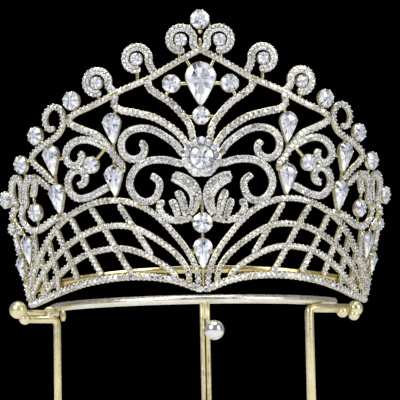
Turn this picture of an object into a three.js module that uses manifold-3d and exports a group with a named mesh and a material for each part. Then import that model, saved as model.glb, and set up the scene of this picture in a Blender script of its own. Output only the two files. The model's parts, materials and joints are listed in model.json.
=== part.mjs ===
// A pageant tiara of soldered, gold-plated wire on a plain wire display stand.
// Units are millimetres and +Z is up. The tiara's front faces -Y.
//
// The tiara's metal is laid out flat and then rolled onto a flared cone, the way such a frame is made.
// A place on the flat pattern is (along, up): along is the distance from the front centre measured round
// the foot of the cone, and up is the slant height above the foot.
import * as THREE from "three";
import { mergeVertices } from "three/addons/utils/BufferGeometryUtils.js";
import Module from "manifold-3d";

const wasm = await Module();
wasm.setup();

// ---------------------------------------------------------------- driving dimensions
const crown = {
  footRadius: 96,
  flare: THREE.MathUtils.degToRad(15),
  tiltBack: THREE.MathUtils.degToRad(8.5),
  endAlong: 91,
  wireWidth: 2.8,
  strandWidth: 3.3,
  wireDepth: 1.8,
  fineStep: 3.5,
  wideStep: 7.5,
  linkStep: 30,
  flatTolerance: 0.004,
  longestEdge: 16,
};
const headBand = { up: 0, height: 3.3, back: -1.4, front: 0.2, sides: 64 };
const cup = { wall: 0.5, clearance: 0.3, floor: 0.7, height: 2.5, sides: 10, pearSides: 12 };
const gem = { seat: 1.2, pavilion: 0.9, girdle: 0.8, bevel: 1.3, bevelShare: 0.3 };
const stand = {
  axisY: -24,
  ringRadius: 70,
  ringStart: THREE.MathUtils.degToRad(-86),
  ringEnd: THREE.MathUtils.degToRad(64),
  ringHeight: 98,
  barRadius: 2,
  rodRadius: 1.75,
  footRadius: 9,
  footThickness: 3,
  barSides: 8,
};
const restGap = 0.3;

const colours = { gold: 0xdcc79a, stone: 0xf2f4f8, stand: 0xe5ddb8 };

// ---------------------------------------------------------------- tables of the half pattern
// Each row is [along, up]; every wire is made once here and once mirrored.

// Thin wires carry one row of set stones.
const wires = {
  lower_arc: [
    [11.6, -5], [12.3, -2.3], [14.7, 0.7], [20.4, 4.9], [25.5, 8], [31, 10.3], [36.6, 11.5], [43, 11.5],
    [50.4, 10.7], [57.6, 8.4], [64, 5.4], [70.2, 2], [76, -1.6], [83, -4.8],
  ],
  middle_arc: [
    [6, -6], [6.6, -0.8], [9.2, 4.2], [13.2, 8.9], [18.5, 13.4], [23.5, 17], [29, 20], [34.5, 21.3], [40.3, 21.4],
    [46, 20.8], [52.6, 18.9], [59.8, 16], [66.8, 12.4], [73.8, 7.9], [80.8, 2.9], [86.5, -2.2],
  ],
  upper_arc: [
    [1.9, -7], [2.4, -1.8], [3.9, 3], [7.3, 9.6], [11.8, 16], [16.2, 21.6], [21, 26.3], [26, 29.6], [31, 31.6], [36.4, 32.7],
    [42.6, 32.7], [49.3, 31.4], [56, 29], [62.4, 25.8], [68.8, 21], [75, 15.1], [82, 7.8], [87, 2],
    [89.5, -3],
  ],
  upper_rail: [
    [0.5, 96], [6.4, 92.2], [12, 88.5], [17.8, 84.7], [23.7, 82.3], [30.6, 79.6], [36.1, 76.9],
    [41.4, 74.9], [47.6, 73], [51.4, 70.9],
  ],
  drop_strand: [
    [57.2, 68.6], [59.8, 68.4], [61, 71.7], [60, 75.6], [56.8, 77.9], [53.9, 76.6], [52.7, 72.8],
    [53.5, 68.9], [55.7, 65.7], [59.2, 63.7], [63.5, 62.1], [67.6, 60.5], [70.6, 57.9], [69.6, 54.6],
    [66.5, 51], [63.8, 47.2], [61.6, 44.6],
  ],
  side_stay: [[72.3, 50], [68.8, 47.4], [64.3, 42.4]],
  side_inner_stay: [[77.6, 25.4], [78.4, 17.4], [80.4, 11.8], [83.4, 5.8], [86, 0], [87.5, -5]],
  side_outer_stay: [[83.2, 11.6], [85.4, 6], [87.6, 1]],
};

// Broad strands carry several rows of stones.
const strands = {
  bottom_rail: [
    [0, -9], [4, -7.6], [9.2, -5.5], [14.8, -3.8], [20.5, -2.7], [28, -1.8], [36.5, -1.4], [46, -1.6],
    [56, -2.3], [64, -3.4], [72, -4.6], [80, -5.8], [86, -6.3], [crown.endAlong, -6.4],
  ],
  flower_to_rail: [
    [3.2, 57.4], [4.2, 63.2], [7.3, 68.5], [11.5, 73.9], [16.1, 77.9], [18.5, 80.8], [18.5, 84],
  ],
  outer_sweep: [
    [5.6, 55.1], [8.9, 60.2], [13, 64.1], [17.4, 67.3], [24.3, 70], [30, 72.1], [31.8, 74.6], [30.9, 79],
  ],
  corner_sweep: [
    [51.4, 70.9], [49.4, 68.3], [45, 65.2], [39.6, 61.7], [35.7, 56.2], [33.4, 51.5], [31.3, 48],
    [31.2, 44.2],
  ],
  low_leaf_wire: [[4.3, 23], [9.2, 21.8], [13.6, 22.5], [16.9, 25.8], [17.2, 28.9], [15.2, 30.4]],
  side_loop_wire: [
    [58, 29.2], [64.6, 28.6], [69.4, 26.8], [74.4, 25.5], [79.1, 26.5], [82.1, 30.2], [82.4, 34.3],
    [80.6, 38.4],
  ],
  side_edge: [[84.6, 38.5], [88.2, 36.2], [89.4, 32], [89.3, 25], [89.4, 15], [89.4, 5], [89.4, -6]],
  side_branch: [[89, 34.2], [87.6, 30], [84.8, 25.8]],
};

const scrolls = {
  upper_scroll: [
    [7.2, 51], [9.8, 55], [13, 58.2], [17.5, 61.6], [22.4, 63], [27.2, 61.9], [30, 58.6], [30.4, 54],
    [28.3, 50.4], [24.7, 49.7], [22, 52], [21.7, 55.2], [23.3, 57],
  ],
  lower_scroll: [
    [8.2, 46.6], [12.9, 48.2], [19, 48.6], [23.6, 47.2], [27.2, 43.4], [28.6, 38.4], [26.7, 33.2],
    [23.5, 30.7], [19.6, 31.3], [17.2, 34.8], [16.8, 39], [19.8, 42.2],
  ],
  outer_upper_scroll: [
    [35.4, 54.8], [39.5, 58.3], [44, 60.7], [49.2, 60.7], [53, 58], [54.2, 54], [52.4, 50.9], [49.4, 50.4],
    [47.1, 53.3], [47.8, 56],
  ],
  outer_lower_scroll: [
    [37.3, 38.9], [41.8, 37], [46.5, 35.5], [51.6, 35.8], [54.6, 39.2], [54.9, 43.9], [52.4, 47.5],
    [48.6, 47.8], [46.8, 45.2], [47.9, 42], [50.7, 41.2],
  ],
  side_scroll: [
    [80.4, 36.6], [78.4, 39.4], [77.8, 42.6], [76.5, 46.6], [73.9, 49.2], [71.3, 48], [72.2, 44.2],
    [74, 40.4],
  ],
  edge_scroll: [
    [81.4, 38.8], [79.8, 43], [79, 48], [80.6, 51], [83.6, 50.2], [85.3, 46.7], [85.5, 42.4], [84.4, 38.6],
  ],
};

// Cross bars of the lattice, from the upper arc down to the rail.
const latticeBars = [
  [[34, 30.6], [29.2, 20.8], [25.8, 14.5], [22.6, 8.4]],
  [[46.4, 30.8], [41.8, 21.8], [37.6, 12.2], [33, 2.6], [31, -0.4]],
  [[56.2, 27.4], [54, 21], [50.4, 12], [45.4, 0.4]],
  [[64.4, 23.6], [62.6, 17], [60.6, 10.6], [57.7, 0]],
  [[69.8, 19.6], [69.4, 12.7], [68.6, 6.6], [69.2, -3]],
  [[76.2, 13], [76, 6], [77.4, -4]],
];

// Acanthus leaves: each row is [along, up, width].
const leaves = {
  broad_leaf: [
    [11.7, 41.2, 4.6], [8, 39.6, 5.6], [4.3, 36.5, 6], [2.6, 32.3, 5.2], [3.1, 28, 4.2], [4.8, 24, 3],
  ],
  middle_leaf: [[9.9, 34.8, 3.4], [8, 30.5, 3.6], [6.7, 23.6, 2.8]],
  outer_leaf: [[12.3, 31, 3.4], [11, 28, 3.4], [9.8, 23, 2.6]],
};
const leafBulb = { along: 14.9, up: 29.2, radius: 1.7 };

// Curls that stand on the upper rail, each round its own stone.
const curls = [
  { name: "inner_curl", along: 6.65, up: 100.6, foot: [1, 95.8] },
  { name: "middle_curl", along: 22.3, up: 93.3, foot: [16, 86] },
  { name: "outer_curl", along: 37.6, up: 84.9, foot: [31.2, 79.6] },
];
const curl = { width: 3.5, startRadius: 5.8, endRadius: 4.5, stoneRadius: 2.5, turn: 5.4, lead: 0.35 };

// Each stone has a place and half its width; a pear also has its height, and the others are round.
const centreStones = [
  { name: "top_round", along: 0, up: 109.4, radius: 3.9 },
  { name: "big_pear", along: 0, up: 81.3, radius: 6.5, height: 18.6 },
  { name: "under_pear_round", along: 0, up: 67.3, radius: 3.6 },
  { name: "flower_stone", along: 0, up: 49.1, radius: 4.9 },
  { name: "lower_round", along: 0, up: 20.5, radius: 4.1 },
  { name: "lower_pear", along: 0, up: 7, radius: 3.9, height: 13 },
];
const sideStones = [
  { name: "flank_round", along: 10.4, up: 81.6, radius: 3.7 },
  { name: "rail_round", along: 48.3, up: 78.9, radius: 3.8 },
  { name: "shoulder_round", along: 66.6, up: 67, radius: 3.7 },
  { name: "side_high_round", along: 76.8, up: 56.2, radius: 3.7 },
  { name: "edge_round", along: 90.6, up: 43.2, radius: 3.5 },
  { name: "inner_high_pear", along: 33.4, up: 64, radius: 3.9, height: 13 },
  { name: "inner_low_pear", along: 34.8, up: 41.1, radius: 3.9, height: 13 },
  { name: "outer_high_pear", along: 60.8, up: 54.5, radius: 3.9, height: 13 },
  { name: "outer_low_pear", along: 61, up: 37.1, radius: 3.9, height: 13 },
  { name: "scroll_round", along: 43.6, up: 49.4, radius: 3.4 },
  { name: "side_low_round", along: 74, up: 33.5, radius: 3.6 },
  { name: "side_pear", along: 83.1, up: 17.8, radius: 3.6, height: 12.4 },
  { name: "edge_pear", along: 89.8, up: 10.8, radius: 2.8, height: 9.4 },
  { name: "edge_bead", along: 90.4, up: 29.4, radius: 2.3 },
];
const flower = centreStones.find((stone) => stone.name === "flower_stone");
const flowerHalo = { radius: 8.9, sides: 20 };
const topBead = { along: 0, up: 104.2, radius: 1 };

// Short solder links between a stone's cup and the nearest wire: [along, up] to [along, up].
const centreLinks = [
  [[0, 94.5], [0, 101.5]],
  [[0, 66], [0, 74]],
  [[0, 22], [0, 31]],
  [[0, -7.5], [0, 17]],
];
const sideLinks = [
  [[3.3, 107.5], [3.4, 104.4]],
  [[3.2, 88], [5.2, 92.6]],
  [[0, 81.5], [10.4, 81.6]],
  [[10.4, 81.6], [12.9, 75.8]],
  [[0, 67.3], [6.3, 66.7]],
  [[6.9, 97], [7.4, 91.6]],
  [[22.3, 89], [22.6, 83]],
  [[37.6, 80.5], [37.7, 76.4]],
  [[48.3, 78.9], [48, 73]],
  [[66.6, 67], [63.4, 62.2]],
  [[76.8, 56.2], [70.6, 57.6]],
  [[76.8, 56.2], [75.8, 48]],
  [[90.6, 43.2], [85.5, 43.6]],
  [[77.6, 44], [80.2, 44.4]],
  [[43.6, 49.4], [37.2, 55.8]],
  [[43.6, 49.4], [48.5, 48.8]],
  [[33.4, 64], [31.2, 74.5]],
  [[33.4, 64], [34.8, 41.1]],
  [[34.8, 41.1], [35.6, 32.6]],
  [[60.8, 54.5], [60, 63.7]],
  [[60.8, 54.5], [61, 37.1]],
  [[61, 37.1], [62.4, 26]],
  [[54.2, 54.5], [60, 54.5]],
  [[54.6, 41], [60.8, 39]],
  [[74, 33.5], [74.3, 25.6]],
  [[74, 34], [74, 40.4]],
  [[83.3, 22.5], [84.7, 26]],
  [[83, 12.6], [81, 11]],
  [[3.6, 20.5], [4.5, 23.2]],
  [[16, 29.4], [18.4, 32]],
  [[3, 7], [7.3, 9.4]],
];
const linkWidth = 1.6;

// ---------------------------------------------------------------- the cone and its flat pattern
const apex = crown.footRadius / Math.sin(crown.flare);

// A place of the pattern on the developed cone, so that widths stay true when it is rolled.
function onPattern(along, up) {
  const sector = (along / crown.footRadius) * Math.sin(crown.flare);
  const slant = apex + up;
  return new THREE.Vector2(slant * Math.sin(sector), slant * Math.cos(sector) - apex);
}

// Rolls a point of the developed pattern onto the cone; depth is the distance outwards from its surface.
function roll(x, y, depth) {
  const slant = Math.hypot(x, y + apex);
  const angle = Math.atan2(x, y + apex) / Math.sin(crown.flare);
  const radius = slant * Math.sin(crown.flare) + depth * Math.cos(crown.flare);
  const height = (slant - apex) * Math.cos(crown.flare) - depth * Math.sin(crown.flare);
  return new THREE.Vector3(radius * Math.sin(angle), -radius * Math.cos(angle), height);
}

// The frame of a flat setting on the cone: x round, y up the slant, z outwards.
function settingFrame(along, up) {
  const angle = along / crown.footRadius;
  const round = new THREE.Vector3(Math.cos(angle), Math.sin(angle), 0);
  const out = new THREE.Vector3(
    Math.sin(angle) * Math.cos(crown.flare),
    -Math.cos(angle) * Math.cos(crown.flare),
    -Math.sin(crown.flare),
  );
  const rise = new THREE.Vector3().crossVectors(out, round);
  const place = onPattern(along, up);
  return new THREE.Matrix4().makeBasis(round, rise, out).setPosition(roll(place.x, place.y, 0));
}

// ---------------------------------------------------------------- solids
function toSolid(geometry) {
  const bare = geometry.clone();
  bare.deleteAttribute("normal");
  bare.deleteAttribute("uv");
  const merged = mergeVertices(bare, 1e-4);
  const mesh = new wasm.Mesh({
    numProp: 3,
    vertProperties: new Float32Array(merged.attributes.position.array),
    triVerts: new Uint32Array(merged.index.array),
  });
  return new wasm.Manifold(mesh);
}

function toGeometry(solid) {
  const mesh = solid.getMesh();
  const geometry = new THREE.BufferGeometry();
  geometry.setAttribute("position", new THREE.BufferAttribute(mesh.vertProperties, 3));
  geometry.setIndex(new THREE.BufferAttribute(mesh.triVerts, 1));
  geometry.computeVertexNormals();
  return geometry;
}

function joined(solids) {
  return solids.reduce((whole, solid) => whole.add(solid));
}

function mirrored(rows) {
  return rows.map(([along, ...rest]) => [-along, ...rest]);
}

function ofWidth(rows, width) {
  return rows.map(([along, up]) => [along, up, width]);
}

// A flat wire of the pattern: a centre line through its rows with half the width on each side.
function wireSolid(rows, step) {
  const knots = rows.map(([along, up, width = crown.wireWidth]) => {
    const place = onPattern(along, up);
    return new THREE.Vector3(place.x, place.y, width);
  });
  const spine = new THREE.CatmullRomCurve3(knots, false, "centripetal");
  const count = Math.max(1, Math.round(spine.getLength() / step));
  const left = [];
  const right = [];
  for (let i = 0; i <= count; i += 1) {
    const point = spine.getPointAt(i / count);
    const tangent = spine.getTangentAt(i / count).setZ(0).normalize();
    const half = point.z / 2;
    left.push(new THREE.Vector2(point.x - tangent.y * half, point.y + tangent.x * half));
    right.push(new THREE.Vector2(point.x + tangent.y * half, point.y - tangent.x * half));
  }
  return slab(new THREE.Shape([...right, ...left.reverse()]), crown.wireDepth, 0);
}

function slab(shape, depth, back) {
  const geometry = new THREE.ExtrudeGeometry(shape, { depth, bevelEnabled: false, steps: 1 });
  geometry.translate(0, 0, back);
  return toSolid(geometry);
}

function disc(along, up, radius, sides) {
  const centre = onPattern(along, up);
  const points = ring(radius, radius, sides).map((point) => point.add(centre));
  return slab(new THREE.Shape(points), crown.wireDepth, 0);
}

function ring(halfWidth, halfHeight, sides) {
  return Array.from({ length: sides }, (_, i) => {
    const angle = (i * 2 * Math.PI) / sides;
    return new THREE.Vector2(halfWidth * Math.cos(angle), halfHeight * Math.sin(angle));
  });
}

// A curl's centre line: from its foot on the rail up the inner side, over the top and round its stone.
// The radius shrinks evenly with the angle. side is 1 on the right half and -1 on the left.
function curlRows(item, side) {
  const rows = [[side * item.foot[0], item.foot[1]]];
  const turns = 9;
  const stretch = crown.footRadius / (crown.footRadius + item.up * Math.sin(crown.flare));
  for (let i = 0; i <= turns; i += 1) {
    const share = i / turns;
    const angle = Math.PI + curl.lead - curl.turn * share;
    const radius = curl.startRadius + (curl.endRadius - curl.startRadius) * share;
    rows.push([side * (item.along + stretch * radius * Math.cos(angle)), item.up + radius * Math.sin(angle)]);
  }
  return rows;
}

// A stone's outline turned to its place on the flat pattern.
function settingOutline(stone, offset) {
  const centre = onPattern(stone.along, stone.up);
  const sector = (stone.along / crown.footRadius) * Math.sin(crown.flare);
  const outline = stoneOutline(stone, offset);
  return outline.map((point) => point.rotateAround(new THREE.Vector2(), -sector).add(centre));
}

// A stone's outline, grown by an offset. A pear is a round head that narrows to a point below.
function stoneOutline(stone, offset) {
  const radius = stone.radius + offset;
  if (!stone.height) {
    return ring(radius, radius, cup.sides);
  }
  const drop = stone.height + 2 * offset - 2 * radius;
  return ring(radius, radius, cup.pearSides).map((point, i) => {
    const angle = (i * 2 * Math.PI) / cup.pearSides;
    const fall = Math.max(0, -Math.sin(angle));
    const x = point.x * (1 - 0.42 * fall ** 2);
    return new THREE.Vector2(x, point.y + drop / 2 - drop * fall ** 2.4);
  });
}

// The cup's outer body and the hollow that its stone drops into, both on the flat pattern.
function cupSolid(stone) {
  return slab(new THREE.Shape(settingOutline(stone, cup.clearance + cup.wall)), cup.height, 0);
}

function cupHollow(stone) {
  return slab(new THREE.Shape(settingOutline(stone, cup.clearance)), cup.height, cup.floor);
}

// A cut stone: a straight girdle between a bevelled crown and a bevelled pavilion.
function stoneGeometry(stone) {
  const bevel = Math.min(gem.bevel, stone.radius * gem.bevelShare);
  const geometry = new THREE.ExtrudeGeometry(new THREE.Shape(stoneOutline(stone, 0)), {
    depth: gem.girdle,
    bevelEnabled: true,
    bevelThickness: gem.pavilion,
    bevelSize: bevel,
    bevelOffset: -bevel,
    bevelSegments: 1,
  });
  geometry.translate(0, 0, gem.seat + gem.pavilion);
  return geometry.applyMatrix4(settingFrame(stone.along, stone.up));
}

// ---------------------------------------------------------------- the tiara's metal
function rolledSheet(solid) {
  const geometry = toGeometry(solid);
  const position = geometry.attributes.position;
  for (let i = 0; i < position.count; i += 1) {
    const point = roll(position.getX(i), position.getY(i), position.getZ(i));
    position.setXYZ(i, point.x, point.y, point.z);
  }
  return toSolid(geometry);
}

// The head band is a low conical ring behind the wires, open at the back between the tiara's ends.
function bandSolid() {
  const { up, height, back, front, sides } = headBand;
  const corners = [[-1, back], [-1, front], [1, front], [1, back], [-1, back]];
  const profile = corners.map(([edge, depth]) => {
    const point = roll(0, up + (edge * height) / 2, depth);
    return new THREE.Vector2(-point.y, point.z);
  });
  const band = new THREE.LatheGeometry(profile, sides).rotateX(Math.PI / 2);
  const gap = new THREE.BoxGeometry(4 * crown.footRadius, 2 * crown.footRadius, 4 * crown.footRadius);
  gap.translate(0, crown.footRadius * (1 - Math.cos(crown.endAlong / crown.footRadius)), 0);
  return toSolid(band).subtract(toSolid(gap));
}

function halfPattern(side) {
  const sided = (rows) => (side > 0 ? rows : mirrored(rows));
  const pieces = [];
  for (const [name, rows] of Object.entries(wires)) {
    pieces.push(wireSolid(sided(rows), name === "drop_strand" ? crown.fineStep : crown.wideStep));
  }
  for (const rows of Object.values(strands)) {
    pieces.push(wireSolid(sided(ofWidth(rows, crown.strandWidth)), crown.wideStep));
  }
  for (const rows of Object.values(scrolls)) {
    pieces.push(wireSolid(sided(ofWidth(rows, crown.strandWidth)), crown.fineStep));
  }
  for (const rows of latticeBars) {
    pieces.push(wireSolid(sided(rows), crown.wideStep));
  }
  for (const rows of Object.values(leaves)) {
    pieces.push(wireSolid(sided(rows), crown.fineStep));
  }
  for (const item of curls) {
    pieces.push(wireSolid(ofWidth(curlRows(item, side), curl.width), crown.fineStep));
  }
  for (const rows of sideLinks) {
    pieces.push(wireSolid(sided(ofWidth(rows, linkWidth)), crown.linkStep));
  }
  pieces.push(disc(side * leafBulb.along, leafBulb.up, leafBulb.radius, 8));
  return pieces;
}

function allStones() {
  const stones = [...centreStones];
  for (const [label, side] of [["right", 1], ["left", -1]]) {
    for (const stone of sideStones) {
      stones.push({ ...stone, name: `${stone.name}_${label}`, along: side * stone.along });
    }
    for (const item of curls) {
      const { along, up } = item;
      stones.push({ name: `${item.name}_stone_${label}`, along: side * along, up, radius: curl.stoneRadius });
    }
  }
  return stones;
}

function frameGeometry(stones) {
  const pieces = [...halfPattern(1), ...halfPattern(-1)];
  for (const rows of centreLinks) {
    pieces.push(wireSolid(ofWidth(rows, linkWidth), crown.linkStep));
  }
  pieces.push(disc(flower.along, flower.up, flowerHalo.radius, flowerHalo.sides));
  pieces.push(disc(topBead.along, topBead.up, topBead.radius, 8));
  pieces.push(...stones.map(cupSolid));
  const hollows = joined(stones.map(cupHollow));
  const sheet = joined(pieces).subtract(hollows).asOriginal().simplify(crown.flatTolerance);
  return toGeometry(rolledSheet(sheet.refineToLength(crown.longestEdge)).add(bandSolid()));
}

// ---------------------------------------------------------------- the display stand
function bar(points, radius) {
  const path = new THREE.CatmullRomCurve3(points, false, "centripetal");
  const section = new THREE.Shape(ring(radius, radius, stand.barSides));
  const steps = (points.length - 1) * 2;
  return toSolid(new THREE.ExtrudeGeometry(section, { steps, bevelEnabled: false, extrudePath: path }));
}

function onRing(angle, height) {
  return new THREE.Vector3(
    stand.ringRadius * Math.sin(angle),
    stand.axisY - stand.ringRadius * Math.cos(angle),
    height,
  );
}

function ball(centre, radius) {
  const geometry = new THREE.SphereGeometry(radius, 14, 10);
  return toSolid(geometry.translate(centre.x, centre.y, centre.z));
}

function upright(place, radius, bottom, top, sides = stand.barSides) {
  const geometry = new THREE.CylinderGeometry(radius, radius, top - bottom, sides).rotateX(Math.PI / 2);
  return toSolid(geometry.translate(place.x, place.y, (top + bottom) / 2));
}

// A leg stands on a round foot under the ring; its rod turns out at the top into an arm with a ball end.
function legSolid(leg) {
  const place = onRing(THREE.MathUtils.degToRad(leg.angle), 0);
  const pieces = [upright(place, stand.footRadius, 0, stand.footThickness, 16)];
  for (const shift of leg.rods) {
    const rod = place.clone().add(new THREE.Vector3(shift, 0, 0));
    pieces.push(upright(rod, leg.rodRadius, 0, stand.ringHeight));
  }
  for (const height of leg.armHeights) {
    const start = place.clone().setZ(height);
    const tip = new THREE.Vector3(leg.tip[0], leg.tip[1], height);
    pieces.push(bar([start, start.clone().lerp(tip, 0.5), tip], leg.armRadius));
  }
  for (const [x, y, z, radius] of leg.balls) {
    pieces.push(ball(new THREE.Vector3(x, y, z), radius));
  }
  return joined(pieces);
}

// How far the lower outer edge of the bottom rail hangs below the centre of the foot once it leans back.
function hangOf(along, up) {
  const place = onPattern(along, up - crown.strandWidth / 2);
  const edge = roll(place.x, place.y, crown.wireDepth);
  return edge.applyAxisAngle(new THREE.Vector3(1, 0, 0), -crown.tiltBack).z;
}
const railEnd = strands.bottom_rail[strands.bottom_rail.length - 1];
const railOnBall = [82.8, -6.05];
const tiaraHeight = stand.ringHeight + stand.barRadius + restGap - hangOf(...strands.bottom_rail[0]);
const endHeight = tiaraHeight + hangOf(...railEnd) - restGap;
const rightHeight = tiaraHeight + hangOf(...railOnBall) - restGap;

// The front of the tiara stands on the ring, its left end on a pair of rods and its right side on a ball.
const leftArm = { radius: 1.5, height: endHeight - 1.5 };
const rightBall = { radius: 3.6, height: rightHeight - 3.6 };
const legs = [
  {
    angle: 0.4,
    rods: [-1.2, 1.2],
    rodRadius: 1,
    armHeights: [84],
    armRadius: 1.75,
    tip: [3.7, -106],
    balls: [[3.7, -106, 84, 4.3]],
  },
  {
    angle: -68.4,
    rods: [0],
    rodRadius: stand.rodRadius,
    armHeights: [leftArm.height, leftArm.height - 1.9 * leftArm.radius],
    armRadius: leftArm.radius,
    tip: [-80.5, -58.2],
    balls: [[-82.5, -59, endHeight, 4], [-79.5, -57.8, endHeight - 4.1, 2.7]],
  },
  {
    angle: 44.1,
    rods: [0],
    rodRadius: stand.rodRadius,
    armHeights: [rightBall.height],
    armRadius: 2.2,
    tip: [71.3, -62.5],
    balls: [
      [71.3, -62.5, rightBall.height, rightBall.radius],
      [70.7, -62.9, rightBall.height - 2.8, 2.6],
      [65, -66, rightBall.height - 1.5, 2.7],
    ],
  },
];

function standGeometry() {
  const stretches = 12;
  const points = [];
  for (let i = 0; i <= stretches; i += 1) {
    const angle = stand.ringStart + ((stand.ringEnd - stand.ringStart) * i) / stretches;
    points.push(onRing(angle, stand.ringHeight));
  }
  return toGeometry(joined([bar(points, stand.barRadius), ...legs.map(legSolid)]));
}

// ---------------------------------------------------------------- assembly
function material(colour, roughness, metalness) {
  return new THREE.MeshStandardMaterial({ color: colour, roughness, metalness });
}

const group = new THREE.Group();
const tiara = new THREE.Group();
const stones = allStones();

const frame = new THREE.Mesh(frameGeometry(stones), material(colours.gold, 0.3, 1));
frame.name = "tiara_frame";
tiara.add(frame);

for (const stone of stones) {
  const mesh = new THREE.Mesh(stoneGeometry(stone), material(colours.stone, 0.05, 0));
  mesh.name = stone.name;
  tiara.add(mesh);
}

// The tiara leans back: its front stands on the stand's ring and its ends on the two side arms.
tiara.rotation.x = -crown.tiltBack;
tiara.position.z = tiaraHeight;
group.add(tiara);

const standMesh = new THREE.Mesh(standGeometry(), material(colours.stand, 0.35, 1));
standMesh.name = "stand";
group.add(standMesh);

// The origin is under the middle of the whole object, on the surface that its feet stand on.
group.updateMatrixWorld(true);
const bounds = new THREE.Box3().setFromObject(group, true);
const middle = bounds.getCenter(new THREE.Vector3());
group.position.set(-middle.x, -middle.y, -bounds.min.z);

export default group;
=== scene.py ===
"""Looks of a pageant tiara on its wire display stand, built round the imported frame.

The tiara is one flat pattern of strands rolled onto a flared cone that leans back a little. A place on the
pattern is (along, up) in millimetres: along is measured round the foot of the cone from the front centre, and
up is the slant height above the foot. Every surface is worked out flat, as (x, y, depth), then rolled, leaned
back and moved to its place on the stand, and only there turned into metres.
"""
import json
import math

import bpy
import numpy as np
from mathutils import Matrix, Vector


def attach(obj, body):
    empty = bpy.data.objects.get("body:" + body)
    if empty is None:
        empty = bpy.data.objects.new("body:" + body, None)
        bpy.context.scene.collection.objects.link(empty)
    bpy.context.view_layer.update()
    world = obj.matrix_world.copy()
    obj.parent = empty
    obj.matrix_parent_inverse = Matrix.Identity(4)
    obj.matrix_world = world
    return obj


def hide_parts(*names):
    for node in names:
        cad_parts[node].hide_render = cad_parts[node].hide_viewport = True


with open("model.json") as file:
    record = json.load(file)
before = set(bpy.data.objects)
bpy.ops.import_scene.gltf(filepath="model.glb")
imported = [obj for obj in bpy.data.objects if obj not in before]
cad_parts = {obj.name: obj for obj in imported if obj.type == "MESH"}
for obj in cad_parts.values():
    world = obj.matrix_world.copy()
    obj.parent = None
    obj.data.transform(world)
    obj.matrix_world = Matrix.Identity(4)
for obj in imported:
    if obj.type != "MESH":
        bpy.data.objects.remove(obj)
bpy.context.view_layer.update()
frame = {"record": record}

MM = 0.001
BODY = "root"
SEED = 20

# ---------------------------------------------------------------- the cone, in millimetres
FOOT_RADIUS = 96.0
FLARE = math.radians(15)
END_ALONG = 91.0
APEX = FOOT_RADIUS / math.sin(FLARE)

# The head seat lies midway between the tiara's ends and its axis gives the lean; the cone's own centre is
# behind it in the plane of the foot.
mounts = {mount["name"]: mount for mount in frame["record"]["mounts"]}
LEAN = math.atan2(-mounts["head_seat"]["axis"][1], -mounts["head_seat"]["axis"][2])
behind = FOOT_RADIUS * math.cos(END_ALONG / FOOT_RADIUS)
SEAT = np.array(mounts["head_seat"]["pos_m"]) / MM + [0, behind * math.cos(LEAN), -behind * math.sin(LEAN)]

# Widths of the wires, each 0.2 mm narrower than the CAD's, and their thickness.
THIN = 2.6
BROAD = 3.1
PAVED = 3.3
WIRE_DEPTH = 1.8
LINK = 1.4
LINK_DEPTH = 1.3

# ---------------------------------------------------------------- tables of the half pattern: [along, up]
THIN_WIRES = {
    "lower_arc": [
        [11.6, -5], [12.3, -2.3], [14.7, 0.7], [20.4, 4.9], [25.5, 8], [31, 10.3], [36.6, 11.5],
        [43, 11.5], [50.4, 10.7], [57.6, 8.4], [64, 5.4], [70.2, 2], [76, -1.6], [83, -4.8],
    ],
    "middle_arc": [
        [6, -6], [6.6, -0.8], [9.2, 4.2], [13.2, 8.9], [18.5, 13.4], [23.5, 17], [29, 20], [34.5, 21.3],
        [40.3, 21.4], [46, 20.8], [52.6, 18.9], [59.8, 16], [66.8, 12.4], [73.8, 7.9], [80.8, 2.9],
        [86.5, -2.2],
    ],
    "upper_arc": [
        [1.9, -7], [2.4, -1.8], [3.9, 3], [7.3, 9.6], [11.8, 16], [16.2, 21.6], [21, 26.3], [26, 29.6],
        [31, 31.6], [36.4, 32.7], [42.6, 32.7], [49.3, 31.4], [56, 29], [62.4, 25.8], [68.8, 21],
        [75, 15.1], [82, 7.8], [87, 2], [89.5, -3],
    ],
    "upper_rail": [
        [0.5, 96], [6.4, 92.2], [12, 88.5], [17.8, 84.7], [23.7, 82.3], [30.6, 79.6], [36.1, 76.9],
        [41.4, 74.9], [47.6, 73], [51.4, 70.9],
    ],
    "drop_strand": [
        [57.2, 68.6], [59.8, 68.4], [61, 71.7], [60, 75.6], [56.8, 77.9], [53.9, 76.6], [52.7, 72.8],
        [53.5, 68.9], [55.7, 65.7], [59.2, 63.7], [63.5, 62.1], [67.6, 60.5], [70.6, 57.9], [69.6, 54.6],
        [66.5, 51], [63.8, 47.2], [61.6, 44.6],
    ],
    "side_stay": [[72.3, 50], [68.8, 47.4], [64.3, 42.4]],
    "side_inner_stay": [[77.6, 25.4], [78.4, 17.4], [80.4, 11.8], [83.4, 5.8], [86, 0], [87.5, -5]],
    "side_outer_stay": [[83.2, 11.6], [85.4, 6], [87.6, 1]],
    "lattice_bar_1": [[34, 30.6], [29.2, 20.8], [25.8, 14.5], [21.8, 7]],
    "lattice_bar_2": [[46.4, 30.8], [41.8, 21.8], [37.6, 12.2], [33, 2.6], [31, -0.4]],
    "lattice_bar_3": [[56.2, 27.4], [54, 21], [50.4, 12], [45.4, 0.4]],
    "lattice_bar_4": [[64.4, 23.6], [62.6, 17], [60.6, 10.6], [57.7, 0]],
    "lattice_bar_5": [[69.8, 19.6], [69.4, 12.7], [68.6, 6.6], [69.2, -3]],
    "lattice_bar_6": [[76.2, 13], [76, 6], [77.4, -4]],
}

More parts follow.
